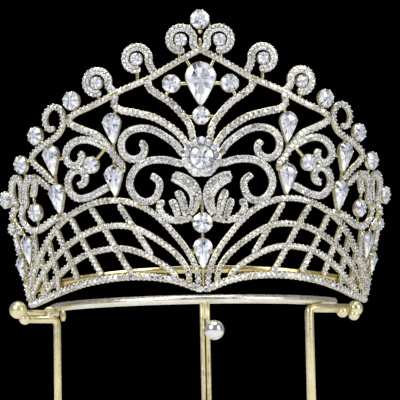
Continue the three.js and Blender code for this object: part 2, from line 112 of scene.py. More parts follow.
BROAD_STRANDS = {
    "bottom_rail": [
        [0, -9], [4, -7.6], [9.2, -5.5], [14.8, -3.8], [20.5, -2.7], [28, -1.8], [36.5, -1.4], [46, -1.6],
        [56, -2.3], [64, -3.4], [72, -4.6], [80, -5.8], [86, -6.3], [END_ALONG, -6.4],
    ],
    "flower_to_rail": [
        [2.5, 55.2], [3.2, 57.4], [4.2, 63.2], [7.3, 68.5], [11.5, 73.9], [16.1, 77.9], [18.5, 80.8],
        [18.5, 84],
    ],
    "outer_sweep": [
        [4.3, 53.2], [5.6, 55.1], [8.9, 60.2], [13, 64.1], [17.4, 67.3], [24.3, 70], [30, 72.1], [31.8, 74.6],
        [30.9, 79],
    ],
    "corner_sweep": [
        [51.4, 70.9], [49.4, 68.3], [45, 65.2], [39.6, 61.7], [35.7, 56.2], [33.4, 51.5], [31.3, 48],
        [31.2, 44.2],
    ],
    "low_leaf_wire": [[4.3, 23], [9.2, 21.8], [13.6, 22.5], [16.9, 25.8], [17.2, 28.9], [15.2, 30.4]],
    "side_loop_wire": [
        [58, 29.2], [64.6, 28.6], [69.4, 26.8], [74.4, 25.5], [79.1, 26.5], [82.1, 30.2], [82.4, 34.3],
        [80.6, 38.4],
    ],
    "side_edge": [[84.6, 38.5], [88.2, 36.2], [89.4, 32], [89.3, 25], [89.4, 15], [89.4, 5], [89.4, -6]],
    "side_branch": [[89, 34.2], [87.6, 30], [84.8, 25.8]],
    "upper_scroll": [
        [5.6, 50.2], [7.2, 51], [9.8, 55], [13, 58.2], [17.5, 61.6], [22.4, 63], [27.2, 61.9],
        [30, 58.6], [30.4, 54], [28.3, 50.4], [24.7, 49.7], [22, 52], [21.7, 55.2], [23.3, 57],
    ],
    "lower_scroll": [
        [6.2, 46.9], [8.2, 46.6], [12.9, 48.2], [19, 48.6], [23.6, 47.2], [27.2, 43.4], [28.6, 38.4],
        [26.7, 33.2], [23.5, 30.7], [19.6, 31.3], [17.2, 34.8], [16.8, 39], [19.8, 42.2],
    ],
    "outer_upper_scroll": [
        [35.4, 54.8], [39.5, 58.3], [44, 60.7], [49.2, 60.7], [53, 58], [54.2, 54], [52.4, 50.9],
        [49.4, 50.4], [47.1, 53.3], [47.8, 56],
    ],
    "outer_lower_scroll": [
        [37.3, 38.9], [41.8, 37], [46.5, 35.5], [51.6, 35.8], [54.6, 39.2], [54.9, 43.9], [52.4, 47.5],
        [48.6, 47.8], [46.8, 45.2], [47.9, 42], [50.7, 41.2],
    ],
    "side_scroll": [
        [80.4, 36.6], [78.4, 39.4], [77.8, 42.6], [76.5, 46.6], [73.9, 49.2], [71.3, 48], [72.2, 44.2],
        [74, 40.4],
    ],
    "edge_scroll": [
        [81.4, 38.8], [79.8, 43], [79, 48], [80.6, 51], [83.6, 50.2], [85.3, 46.7], [85.5, 42.4],
        [84.4, 38.6],
    ],
}

# Acanthus leaves: [along, up, width].
LEAVES = {
    "broad_leaf": [
        [11.7, 41.2, 4.6], [8, 39.6, 5.6], [4.3, 36.5, 6], [2.6, 32.3, 5.2], [3.1, 28, 4.2], [4.8, 24, 3],
    ],
    "middle_leaf": [[9.9, 34.8, 3.4], [8, 30.5, 3.6], [6.7, 23.6, 2.8]],
    "outer_leaf": [[12.3, 31, 3.4], [11, 28, 3.4], [9.8, 23, 2.6]],
}

# Curls on the upper rail: where each one's stone sits, and its foot on the rail.
CURLS = {
    "inner_curl": {"along": 6.65, "up": 100.6, "foot": [1, 95.8]},
    "middle_curl": {"along": 22.3, "up": 93.3, "foot": [16, 86]},
    "outer_curl": {"along": 37.6, "up": 84.9, "foot": [31.2, 79.6]},
}
CURL = {"start": 5.8, "end": 4.5, "stone": 2.5, "turn": 5.4, "lead": 0.35, "rows": 10}

# Large stones: round ones have a radius, pears a height too.
CENTRE_STONES = {
    "top_round": {"along": 0, "up": 109.4, "radius": 3.9},
    "big_pear": {"along": 0, "up": 81.3, "radius": 6.5, "height": 18.6},
    "under_pear_round": {"along": 0, "up": 67.3, "radius": 3.6},
    "flower_stone": {"along": 0, "up": 49.1, "radius": 4.9},
    "lower_round": {"along": 0, "up": 20.5, "radius": 4.1},
    "lower_pear": {"along": 0, "up": 7, "radius": 3.9, "height": 13},
}
SIDE_STONES = {
    "flank_round": {"along": 10.4, "up": 81.6, "radius": 3.7},
    "rail_round": {"along": 48.3, "up": 78.9, "radius": 3.8},
    "shoulder_round": {"along": 66.6, "up": 67, "radius": 3.7},
    "side_high_round": {"along": 76.8, "up": 56.2, "radius": 3.7},
    "edge_round": {"along": 90.6, "up": 43.2, "radius": 3.5},
    "inner_high_pear": {"along": 33.4, "up": 64, "radius": 3.9, "height": 13},
    "inner_low_pear": {"along": 34.8, "up": 41.1, "radius": 3.9, "height": 13},
    "outer_high_pear": {"along": 60.8, "up": 54.5, "radius": 3.9, "height": 13},
    "outer_low_pear": {"along": 61, "up": 37.1, "radius": 3.9, "height": 13},
    "scroll_round": {"along": 43.6, "up": 49.4, "radius": 3.4},
    "side_low_round": {"along": 74, "up": 33.5, "radius": 3.6},
    "side_pear": {"along": 83.1, "up": 17.8, "radius": 3.6, "height": 12.4},
    "edge_pear": {"along": 89.8, "up": 10.8, "radius": 2.8, "height": 9.4},
    "edge_bead": {"along": 90.4, "up": 29.4, "radius": 2.3},
}
FLOWER = {"along": 0, "up": 49.1, "radius": 8.9, "petals": 14, "petal_ring": 7.2, "petal": 1.7}
TOP_BEAD = {"along": 0, "up": 104.2, "radius": 1.0}

# Solder links between a stone's cup and the nearest wire: [along, up] to [along, up].
CENTRE_LINKS = [
    [[0, 94.5], [0, 101.5]], [[0, 66], [0, 74]], [[0, 22], [0, 31]], [[0, -7.5], [0, 17]],
]
SIDE_LINKS = [
    [[3.3, 107.5], [3.4, 104.4]], [[3.2, 88], [5.2, 92.6]], [[0, 81.5], [10.4, 81.6]],
    [[10.4, 81.6], [12.9, 75.8]], [[0, 67.3], [6.3, 66.7]], [[6.9, 97], [7.4, 91.6]],
    [[22.3, 89], [22.6, 83]], [[37.6, 80.5], [37.7, 76.4]], [[48.3, 78.9], [48, 73]],
    [[66.6, 67], [63.4, 62.2]], [[76.8, 56.2], [70.6, 57.6]], [[76.8, 56.2], [75.8, 48]],
    [[90.6, 43.2], [85.5, 43.6]], [[77.6, 44], [80.2, 44.4]], [[43.6, 49.4], [37.2, 55.8]],
    [[43.6, 49.4], [48.5, 48.8]], [[33.4, 64], [31.2, 74.5]], [[33.4, 64], [34.8, 41.1]],
    [[34.8, 41.1], [35.6, 32.6]], [[60.8, 54.5], [60, 63.7]], [[60.8, 54.5], [61, 37.1]],
    [[61, 37.1], [62.4, 26]], [[54.2, 54.5], [60, 54.5]], [[54.6, 41], [60.8, 39]],
    [[74, 33.5], [74.3, 25.6]], [[74, 34], [74, 40.4]], [[83.3, 22.5], [84.7, 26]], [[83, 12.6], [81, 11]],
    [[3.6, 20.5], [4.5, 23.2]], [[16, 29.4], [18.4, 32]], [[3, 7], [7.3, 9.4]],
]

# The display stand. Places are [x, y, height], where y counts from the cone's axis. The ring's ends and the
# legs are placed by their angle in degrees round the ring's own axis, from the front.
STAND = {
    "axis_y": -24.0, "bar": 2.0, "ring": 70.0, "height": 98.0, "ends": (-84.2, 62.5),
    "sag": 2.0, "sag_from": 66.0, "sag_over": 18.0, "bend": 2.6,
    "foot": 9.0, "foot_height": 3.0, "foot_edge": 0.5,
}
FRONT_LEG = {
    "angle": 0.4, "apart": 1.18, "radius": 1.0, "solder": 1.1, "solder_from": 89.5,
    "arm_height": 84.0, "arm": 1.7, "arm_end": [3.7, -103, 84], "ball": ([3.7, -106, 84], 4.3),
}
LEFT_ARM = {
    "angle": -68.4, "radius": 1.48, "upper": 95.15, "lower": 92.3, "tip": [-80.5, -58.2, 0],
    "rods": ((-0.6, 2.2), (6.2, None)), "loop": (1.75, 1.05), "loop_at": 4.1,
    "balls": (([-82.5, -59, 96.55], 4.0), ([-79.5, -57.8, 92.6], 2.7)),
}
RIGHT_ARM = {
    "angle": 44.1, "radius": 2.15, "height": 94.5, "tip": [71.3, -62.5, 0],
    "balls": (([71.3, -62.5, 94.5], 3.6), ([70.7, -62.9, 91.7], 2.6), ([65, -66, 93], 2.7)),
}

# ---------------------------------------------------------------- pattern and cone


def on_pattern(along, up):
    """Flat place of a pattern place: x = s sin(a), y = s cos(a) - apex, where the slant s is apex + up and
    the sector a is along / foot radius times sin(flare)."""
    sector = np.asarray(along, float) / FOOT_RADIUS * math.sin(FLARE)
    slant = APEX + np.asarray(up, float)
    return np.stack([slant * np.sin(sector), slant * np.cos(sector) - APEX], -1)


def lean_back(points):
    """Turns points of the upright cone by LEAN about X and moves the foot's centre to its place."""
    x, y, z = points[..., 0], points[..., 1], points[..., 2]
    turned = [x, y * math.cos(LEAN) + z * math.sin(LEAN), z * math.cos(LEAN) - y * math.sin(LEAN)]
    return np.stack(turned, -1) + SEAT


def rolled(flat):
    """Rolls flat points (x, y, depth) onto the cone: slant = |(x, y + apex)|, angle = atan2(x, y + apex) /
    sin(flare), radius = slant sin(flare) + depth cos(flare), height = (slant - apex) cos - depth sin."""
    x, y, depth = flat[..., 0], flat[..., 1] + APEX, flat[..., 2]
    slant = np.hypot(x, y)
    angle = np.arctan2(x, y) / math.sin(FLARE)
    radius = slant * math.sin(FLARE) + depth * math.cos(FLARE)
    height = (slant - APEX) * math.cos(FLARE) - depth * math.sin(FLARE)
    return lean_back(np.stack([radius * np.sin(angle), -radius * np.cos(angle), height], -1))


def set_flat(stone, local):
    """Places a rigid setting: local x runs round the cone, y up its slant and z straight out of it."""
    angle = stone["along"] / FOOT_RADIUS
    around = np.array([math.cos(angle), math.sin(angle), 0])
    out = np.array([
        math.sin(angle) * math.cos(FLARE),
        -math.cos(angle) * math.cos(FLARE),
        -math.sin(FLARE),
    ])
    rise = np.cross(out, around)
    slant = APEX + stone["up"]
    radius = slant * math.sin(FLARE)
    centre = [radius * math.sin(angle), -radius * math.cos(angle), (slant - APEX) * math.cos(FLARE)]
    return lean_back(local @ np.array([around, rise, out]) + centre)


def centre_line(rows, step, default_width, round_ends=False):
    """Samples a centripetal Catmull-Rom curve through the rows about every step: x, y, tangent x, tangent y,
    width. The curve is a Hermite cubic between rows, with knots spaced by the root of their distance. Round
    ends get more places in their last half width, at 1 - cos of even angles."""
    table = np.array([row if len(row) == 3 else [*row, default_width] for row in rows], float)
    knots = np.column_stack([on_pattern(table[:, 0], table[:, 1]), table[:, 2]])
    knots = np.vstack([2 * knots[0] - knots[1], knots, 2 * knots[-1] - knots[-2]])
    gap = np.sqrt(np.linalg.norm(np.diff(knots, axis=0), axis=1))[:, None]
    before, gap_in, after = gap[:-2], gap[1:-1], gap[2:]
    p0, p1, p2, p3 = knots[:-3], knots[1:-2], knots[2:-1], knots[3:]
    slope_1 = gap_in * ((p1 - p0) / before - (p2 - p0) / (before + gap_in) + (p2 - p1) / gap_in)
    slope_2 = gap_in * ((p2 - p1) / gap_in - (p3 - p1) / (gap_in + after) + (p3 - p2) / after)
    t = np.linspace(0, 1, 25)[None, :-1, None]
    p1, p2, slope_1, slope_2 = (part[:, None, :] for part in (p1, p2, slope_1, slope_2))
    fine = (
        p1 * (2 * t**3 - 3 * t**2 + 1) + slope_1 * (t**3 - 2 * t**2 + t)
        + p2 * (3 * t**2 - 2 * t**3) + slope_2 * (t**3 - t**2)
    ).reshape(-1, 3)
    fine = np.vstack([fine, knots[-2]])
    travelled = np.append(0, np.cumsum(np.linalg.norm(np.diff(fine[:, :2], axis=0), axis=1)))
    count = max(2, round(travelled[-1] / step) + 1)
    even = np.linspace(0, travelled[-1], count)
    if round_ends:
        cap = table[0, 2] / 2 * (1 - np.cos(np.linspace(0, math.pi / 2, 6)))
        middle = even[(even > cap[-1] + step / 3) & (even < travelled[-1] - cap[-1] - step / 3)]
        even = np.concatenate([cap, middle, travelled[-1] - cap[::-1]])
    x, y, width = (np.interp(even, travelled, fine[:, k]) for k in range(3))
    tangent = np.stack([np.gradient(x, even), np.gradient(y, even)], -1)
    tangent /= np.linalg.norm(tangent, axis=1)[:, None]
    return np.column_stack([x, y, tangent, width])


def curl_rows(curl, side):
    """A curl's centre line: from its foot on the rail, then round its stone while the radius shrinks
    evenly."""
    share = np.linspace(0, 1, CURL["rows"])
    angle = math.pi + CURL["lead"] - CURL["turn"] * share
    radius = CURL["start"] + (CURL["end"] - CURL["start"]) * share
    stretch = FOOT_RADIUS / (FOOT_RADIUS + curl["up"] * math.sin(FLARE))
    along = curl["along"] + stretch * radius * np.cos(angle)
    up = curl["up"] + radius * np.sin(angle)
    rows = np.vstack([curl["foot"], np.column_stack([along, up])])
    return (rows * [side, 1]).tolist()


def mirrored(rows, side):
    """The same rows on the right (side 1) or the left (side -1)."""
    return [[side * row[0], *row[1:]] for row in rows]


# ---------------------------------------------------------------- surfaces
class Surface:
    """Points in millimetres with their faces, and for a cut stone the grey of each face, a painted
    reflection.
    """

    def __init__(self, points, faces, tone=None):
        self.points = np.asarray(points, float)
        self.faces = [np.asarray(group, int) for group in faces]
        self.tone = tone


def circle(angle):
    """Places round a unit circle, as (cos, sin)."""
    return np.stack([np.cos(angle), np.sin(angle)], -1)


def tube_faces(rings, sides):
    """Quads between neighbouring rings of a tube, with a flat face at each end. Points run round each ring
    counter-clockwise about the direction in which the rings follow each other."""
    ring, side = np.meshgrid(np.arange(rings - 1), np.arange(sides), indexing="ij")
    here = ring * sides + side
    beside = ring * sides + (side + 1) % sides
    walls = np.stack([here, beside, beside + sides, here + sides], -1).reshape(-1, 4)
    return [walls, np.arange(sides)[None, ::-1], (rings - 1) * sides + np.arange(sides)[None, :]]


def star_faces(sides, lower, upper):
    """Triangles between two rings that start at the point numbers lower and upper, where the upper ring is
    turned half a step on."""
    j = np.arange(sides)
    k = (j + 1) % sides
    up = np.stack([lower + j, lower + k, upper + j], -1)
    down = np.stack([lower + k, upper + k, upper + j], -1)
    return np.vstack([up, down])


def end_swell(travelled, length, width):
    """How much of its full width a strand has at a distance along it: at both ends it grows over half a width
    as a quarter circle."""
    share = np.clip(np.minimum(travelled, length - travelled) / (width / 2), 0, 1)
    return np.sqrt(np.clip(1 - (1 - share) ** 2, 0.01, 1))


def rounded_bar(line, depth, back=0.0, edge=0.55, sides=12):
    """Sweeps a rounded oblong along a flat line. Across it x = w/2 sgn(cos) |cos|^edge, and through it
    z = d/2 sgn(sin) |sin|^edge. At both ends the section shrinks as a quarter circle, so they are round."""
    x, y, tx, ty, width = line.T
    travelled = np.append(0, np.cumsum(np.hypot(np.diff(x), np.diff(y))))
    swell = end_swell(travelled, travelled[-1], width)
    angle = (np.arange(sides) + 0.5) * 2 * math.pi / sides
    across = np.sign(np.cos(angle)) * np.abs(np.cos(angle)) ** edge
    through = np.sign(np.sin(angle)) * np.abs(np.sin(angle)) ** edge
    half = (width / 2 * swell)[:, None] * across
    middle = back + depth / 2
    z = middle + (depth / 2) * (0.7 + 0.3 * swell)[:, None] * through
    flat = np.stack([x[:, None] - ty[:, None] * half, y[:, None] + tx[:, None] * half, z], -1)
    return Surface(rolled(flat).reshape(-1, 3), tube_faces(len(line), sides))


def lathe(profile, sides):
    """Turns a profile of (radius, height) about z: x = r cos a, y = r sin a. Small flat faces close it."""
    angle = np.arange(sides) * 2 * math.pi / sides
    radius, height = np.array(profile, float).T
    ring = circle(angle)
    points = np.concatenate([radius[:, None, None] * ring, np.broadcast_to(
        height[:, None, None], (len(radius), sides, 1))], -1)
    return Surface(points.reshape(-1, 3), tube_faces(len(radius), sides))


def spread(template, x, y, depth, size, turn=None, tip=None):
    """Repeats a small template at many flat places, scaled by size, turned about its own axis by turn and
    tipped by adding tip . (x, y) to its depth, then rolls the lot onto the cone."""
    count = len(x)
    turn = np.zeros(count) if turn is None else turn
    tip = np.zeros((count, 2)) if tip is None else tip
    u, v, w = (template.points[:, k] * size[:, None] for k in range(3))
    cos, sin = np.cos(turn)[:, None], np.sin(turn)[:, None]
    flat = np.stack([
        x[:, None] + u * cos - v * sin,
        y[:, None] + u * sin + v * cos,
        depth[:, None] + w + u * tip[:, :1] + v * tip[:, 1:],
    ], -1)
    offsets = np.arange(count)[:, None, None] * len(template.points)
    faces = [(group + offsets).reshape(-1, group.shape[1]) for group in template.faces]
    return Surface(rolled(flat).reshape(-1, 3), faces)


def new_object(name, data):
    """An object with its data, in the scene."""
    made = bpy.data.objects.new(name, data)
    bpy.context.scene.collection.objects.link(made)
    return made


def new_piece(name, surfaces, material, nodes=(), smooth=True):
    """Joins surfaces into one mesh at its place in metres, attaches it to its body and hides the CAD parts
    that it replaces.
    """
    points = np.concatenate([surface.points for surface in surfaces]) * MM
    loops, sizes, tones, start = [], [], [], 0
    for surface in surfaces:
        for group in surface.faces:
            loops.append((group + start).ravel())
            sizes.append(np.full(len(group), group.shape[1]))
        count = sum(len(group) for group in surface.faces)
        tones.append(np.zeros(count) if surface.tone is None else surface.tone)
        start += len(surface.points)
    loops, sizes = np.concatenate(loops), np.concatenate(sizes)
    mesh = bpy.data.meshes.new(name)
    mesh.vertices.add(len(points))
    mesh.vertices.foreach_set("co", points.astype(np.float32).ravel())
    mesh.loops.add(len(loops))
    mesh.loops.foreach_set("vertex_index", loops.astype(np.int32))
    mesh.polygons.add(len(sizes))
    mesh.polygons.foreach_set("loop_start", np.append(0, np.cumsum(sizes)[:-1]).astype(np.int32))
    mesh.polygons.foreach_set("use_smooth", np.full(len(sizes), smooth))
    mesh.update(calc_edges=True)
    # The tone attribute carries the stones' painted facet reflections.
    mesh.attributes.new("tone", "FLOAT", "FACE").data.foreach_set(
        "value", np.concatenate(tones).astype(np.float32))
    mesh.validate()
    mesh.materials.append(material)
    piece = new_object(name, mesh)
    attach(piece, BODY)
    if nodes:
        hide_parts(*nodes)


# ---------------------------------------------------------------- materials
def linear(hex_colour):
    """sRGB hex to linear RGBA."""
    channels = np.array([int(hex_colour[k:k + 2], 16) for k in (1, 3, 5)]) / 255
    low = channels / 12.92
    high = ((channels + 0.055) / 1.055) ** 2.4
    return (*np.where(channels <= 0.04045, low, high).tolist(), 1.0)


def add_node(tree, kind, settings=None, **links):
    """Adds a node; settings are its properties or socket values by name, links its inputs' sources."""
    node = tree.nodes.new(kind)
    for key, value in (settings or {}).items():
        if key in node.inputs:
            node.inputs[key].default_value = value
        else:
            setattr(node, key, value)
    for key, source in links.items():
        tree.links.new(source, node.inputs[key.replace("_", " ")])
    return node


def new_material(name):
    """A new material with its node tree and its shader."""
    material = bpy.data.materials.new(name)
    material.use_nodes = True
    tree = material.node_tree
    return material, tree, tree.nodes["Principled BSDF"]


def ramp(tree, factor, stops):
    """A colour ramp from (place, linear colour) stops."""
    node = add_node(tree, "ShaderNodeValToRGB", Fac=factor)
    elements = node.color_ramp.elements
    while len(elements) < len(stops):
        elements.new(0.5)
    for element, (place, colour) in zip(elements, stops):
        element.position = place
        element.color = colour
    return node.outputs["Color"]


def plated_gold(name, bright, deep, roughness, grain_mm, dent):
    """Gold plating on cast or drawn alloy: a metal's own colour, a little deeper in patches, with a fine
    uneven polish that breaks up its highlights."""
    material, tree, shader = new_material(name)
    place = add_node(tree, "ShaderNodeTexCoord").outputs["Object"]
    patches = add_node(
        tree, "ShaderNodeTexNoise", {"Scale": 1 / (4 * grain_mm * MM), "Detail": 3.0}, Vector=place)
    grain = add_node(
        tree, "ShaderNodeTexNoise", {"Scale": 1 / (grain_mm * MM), "Detail": 2.0}, Vector=place)
    colour = ramp(tree, patches.outputs["Fac"], [(0.35, linear(deep)), (0.65, linear(bright))])
    tree.links.new(colour, shader.inputs["Base Color"])
    rough = add_node(
        tree, "ShaderNodeMapRange",
        {"From Min": 0.3, "From Max": 0.7, "To Min": roughness * 0.75, "To Max": roughness * 1.35},
        Value=grain.outputs["Fac"])
    tree.links.new(rough.outputs["Result"], shader.inputs["Roughness"])
    bump = add_node(
        tree, "ShaderNodeBump", {"Strength": 0.35, "Distance": dent * MM}, Height=grain.outputs["Fac"])
    tree.links.new(bump.outputs["Normal"], shader.inputs["Normal"])
    shader.inputs["Metallic"].default_value = 1.0
    return material


def crystal_with_painted_reflections(name, clear, shade, dark, roughness):
    """Machine-cut glass with a mirror foil behind it: opaque, near white, with a painted reflection in each
    facet, a grey set by its tone as if it threw back another part of the room, and a sharp glass gloss on
    top."""
    material, tree, shader = new_material(name)
    tone = add_node(tree, "ShaderNodeAttribute", {"attribute_name": "tone"}).outputs["Fac"]
    colour = ramp(tree, tone, [(0.0, linear(clear)), (0.5, linear(shade)), (1.0, linear(dark))])
    tree.links.new(colour, shader.inputs["Base Color"])
    shader.inputs["Roughness"].default_value = roughness
    shader.inputs["Metallic"].default_value = 0.3
    shader.inputs["IOR"].default_value = 1.6
    return material


def mottled_matt(name, light, dark, size_mm, roughness):
    """A matt studio surface, paint or cloth, with a faint mottle."""
    material, tree, shader = new_material(name)
    place = add_node(tree, "ShaderNodeTexCoord").outputs["Object"]
    mottle = add_node(tree, "ShaderNodeTexNoise", {"Scale": 1 / (size_mm * MM), "Detail": 4.0}, Vector=place)
    colour = ramp(tree, mottle.outputs["Fac"], [(0.3, linear(dark)), (0.7, linear(light))])
    tree.links.new(colour, shader.inputs["Base Color"])
    shader.inputs["Roughness"].default_value = roughness
    shader.inputs["Specular IOR Level"].default_value = 0.0
    return material


# The grain of each finish is drawn much coarser than real polishing marks, which would be too fine to show.
# Cast wire and cups, gold plated and tumbled: bright pale gold with small uneven highlights.
GOLD = plated_gold("gold_plated_casting", "#DAD3AC", "#B9AC7C", 0.22, 0.9, 0.05)
# Claws, prongs and the flower's plate painted near white, a painted glint that makes them shine like the
# stones between them.
CLAW_PAINTED_GLINT = plated_gold("claw_painted_glint", "#E9E6DC", "#C9C5B8", 0.2, 0.6, 0.02)
# Rolled strip, gold plated: smooth, warmer and deeper than the cast wire.
BAND_GOLD = plated_gold("gold_plated_strip", "#DCCD97", "#C0AC72", 0.2, 1.6, 0.01)
# Drawn rod with a satin finish: a broad soft highlight along each bar.
STAND_GOLD = plated_gold("satin_gold_rod", "#E9E0BA", "#DCD09E", 0.34, 2.2, 0.003)
# The ring's bar, of the same pale gold as the rods but painted nearly silver: the whiter colour is a painted
# reflection of the bright room.
RING_PAINTED_PALE = plated_gold("ring_bar_painted_reflection", "#EAE7DA", "#DEDAC8", 0.28, 2.2, 0.002)
# A polished ball of the stand's metal painted near silver: the whiteness is a painted reflection of the room,
# which it also mirrors.
BALL_PAINTED_REFLECTION = plated_gold("polished_ball_painted_silver", "#EDEDEC", "#DCDCDB", 0.2, 3.0, 0.004)
# Small machine-cut stones: their facets carry painted sparkle, a grain of painted light and grey spots.
SMALL_CRYSTAL = crystal_with_painted_reflections("chaton_painted_sparkle", "#FFFFFF", "#BEC0C6", "#3E4048", 0.14)
# Large stones with the same foil and a higher polish: each facet carries its own painted reflection, light or
# grey.
LARGE_CRYSTAL = crystal_with_painted_reflections("fancy_stone_painted_reflections", "#FFFFFF", "#B9BFCC", "#3C4048", 0.07)

# ---------------------------------------------------------------- all strands
rng = np.random.default_rng(SEED)


def place_stones():
    """Every large stone by its node's name: those on the centre line, then both sides and their curls."""
    stones = dict(CENTRE_STONES)
    for side, label in ((1, "right"), (-1, "left")):
        for name, stone in SIDE_STONES.items():
            stones[f"{name}_{label}"] = {**stone, "along": side * stone["along"]}
        for name, curl in CURLS.items():
            stones[f"{name}_stone_{label}"] = {
                "along": side * curl["along"], "up": curl["up"], "radius": CURL["stone"], "curl": True}
    return stones


def lay_strands():
    """Every strand on both sides, with its width and the kind of stones that it carries."""
    laid = []
    kinds = ((BROAD_STRANDS, BROAD, "broad"), (LEAVES, PAVED, "paved"), (THIN_WIRES, THIN, "thin"))
    for table, width, table_kind in kinds:
        for name, rows in table.items():
            kind = "paved" if name.endswith("_scroll") else table_kind
            laid += [{"rows": mirrored(rows, side), "width": width, "kind": kind} for side in (1, -1)]
    for curl in CURLS.values():
        laid += [{"rows": curl_rows(curl, side), "width": PAVED, "kind": "paved"} for side in (1, -1)]
    return laid


all_stones = place_stones()
strands = lay_strands()
links = [*CENTRE_LINKS, *SIDE_LINKS, *(mirrored(rows, -1) for rows in SIDE_LINKS)]


def make_strand_metal():
    """Every strand and link in metal. Neighbours differ a little in depth, so that no two
    faces share a plane where they cross."""
    surfaces = []
    for number, strand in enumerate(strands):
        line = centre_line(strand["rows"], 0.75, strand["width"], round_ends=True)
        surfaces.append(rounded_bar(line, WIRE_DEPTH - 0.05 * (number % 4), back=0.02 * (number % 3)))
    for rows in links:
        line = centre_line(rows, 0.7, LINK)
        surfaces.append(rounded_bar(line, LINK_DEPTH, sides=8, edge=0.8))
    new_piece("strand_metal", surfaces, GOLD, ["tiara_frame"])


# ---------------------------------------------------------------- small stones and their claws
# Small stones by the kind of strand: their radius, their pitch along it and the size of their claws.
SMALL = {
    "thin": {"radius": 1.02, "pitch": 2.1, "claw": 0.44},
    "broad": {"radius": 1.25, "pitch": 2.4, "claw": 0.5},
    "paved": {"radius": 0.82, "pitch": 1.62, "claw": 0.36},
}
GIRDLE = 1.75


def chaton():
    """A small cut stone of radius 1: an eight-sided table over sixteen crown facets and a short straight
    side."""
    angle = np.arange(8) * math.pi / 4
    ring, half = circle(angle), circle(angle + math.pi / 8)
    points = np.vstack([
        np.column_stack([ring, np.full(8, -0.35)]),
        np.column_stack([ring, np.zeros(8)]),
        np.column_stack([half * 0.58, np.full(8, 0.42)]),
    ])
    walls = tube_faces(2, 8)[0]
    faces = [walls, np.arange(8)[None, ::-1], star_faces(8, 8, 16), 16 + np.arange(8)[None, :]]
    return Surface(points, faces)


def claw():
    """A bead claw of radius 1: six sides, domed on top."""
    return lathe([(1, -1.2), (1, 0), (0.72, 0.62), (0.2, 0.86)], 6)


def stone_spots():
    """Where the small stones and claws go: rows along each strand, as many as its width takes, with every
    other row half a pitch on. Columns: x, y, radius."""
    stones, claws = [], []
    for strand in strands:
        line = centre_line(strand["rows"], 0.1, strand["width"])
        kind = SMALL[strand["kind"]]
        radius, pitch, size = kind["radius"], kind["pitch"], kind["claw"]
        rows = max(2, round((line[:, 4].max() - 0.3) / pitch)) if strand["kind"] == "paved" else 1
        length = (len(line) - 1) * 0.1
        count = max(2, round((length - 2 * radius) / pitch) + 1)
        for row in range(rows):
            place = (np.arange(count) + 0.5 * (row % 2)) * (length - 2 * radius) / (count - 1) + radius
            place = place[place < length - radius * 0.6]
            spot = np.clip(np.round(place * 10).astype(int), 0, len(line) - 1)
            x, y, tx, ty, width = line[spot].T
            swell = end_swell(spot * 0.1 + 0.4, length + 0.8, width)
            offset = (row - (rows - 1) / 2) * (width - 0.2) / rows * swell
            stones.append(np.column_stack([x - ty * offset, y + tx * offset, np.full(len(x), radius)]))
            ways = [way for way, edge in ((-1, 0), (1, rows - 1)) if row == edge]
            for way in ways:
                between = np.clip(spot + round(pitch * 5), 0, len(line) - 1)
                x, y, tx, ty, width = line[between].T
                offset = way * (width / 2 * end_swell(between * 0.1, length, width) - size * 0.55)
                inside = np.minimum(between * 0.1, length - between * 0.1) > 0.7
                spots = np.column_stack([x - ty * offset, y + tx * offset, np.full(len(x), size)])
                claws.append(spots[inside])
    return stones, claws


def clear_of_large(spots, margin):
    """True where a flat spot lies outside every large stone: outside a circle, or for a pear outside circles
    whose radius falls evenly from its head to its tip."""
    free = np.ones(len(spots), bool)
    for stone in all_stones.values():
        centre = on_pattern(stone["along"], stone["up"])
        turn = stone["along"] / FOOT_RADIUS * math.sin(FLARE)
        down = -np.array([math.sin(turn), math.cos(turn)])
        drop = stone.get("height", 2 * stone["radius"]) / 2 - stone["radius"]
        head = centre - down * drop
        share = np.clip((spots - head) @ down / max(2 * drop + stone["radius"], 1e-6), 0, 1)
        share = share * (drop > 0)
        middle = head + share[:, None] * down * (2 * drop + stone["radius"])
        reach = stone["radius"] * (1 - share) + 0.4 * share + margin
        free &= np.linalg.norm(spots - middle, axis=1) > reach
    flower = np.linalg.norm(spots - on_pattern(FLOWER["along"], FLOWER["up"]), axis=1)
    return free & (flower > FLOWER["radius"] + margin - 0.6)


def thinned(groups, share):
    """Keeps, group after group, the spots whose distance from all those kept before is more than a share of
    the two radii together."""
    kept = groups[0]
    for group in groups[1:]:
        gap = np.linalg.norm(group[:, None, :2] - kept[None, :, :2], axis=2)
        reach = share * (group[:, None, 2] + kept[None, :, 2])
        kept = np.vstack([kept, group[(gap - reach).min(axis=1) > 0]])
    return kept


def painted_sparkle_tones(count, facets):
    """Painted sparkle: how grey each facet is painted, a share from its own stone and a share of its own,
    most of them light.
    """
    whole = np.repeat(rng.beta(0.9, 1.9, count), facets)
    return np.clip(0.55 * whole + 0.72 * rng.beta(0.7, 1.3, count * facets) - 0.04, 0, 1)


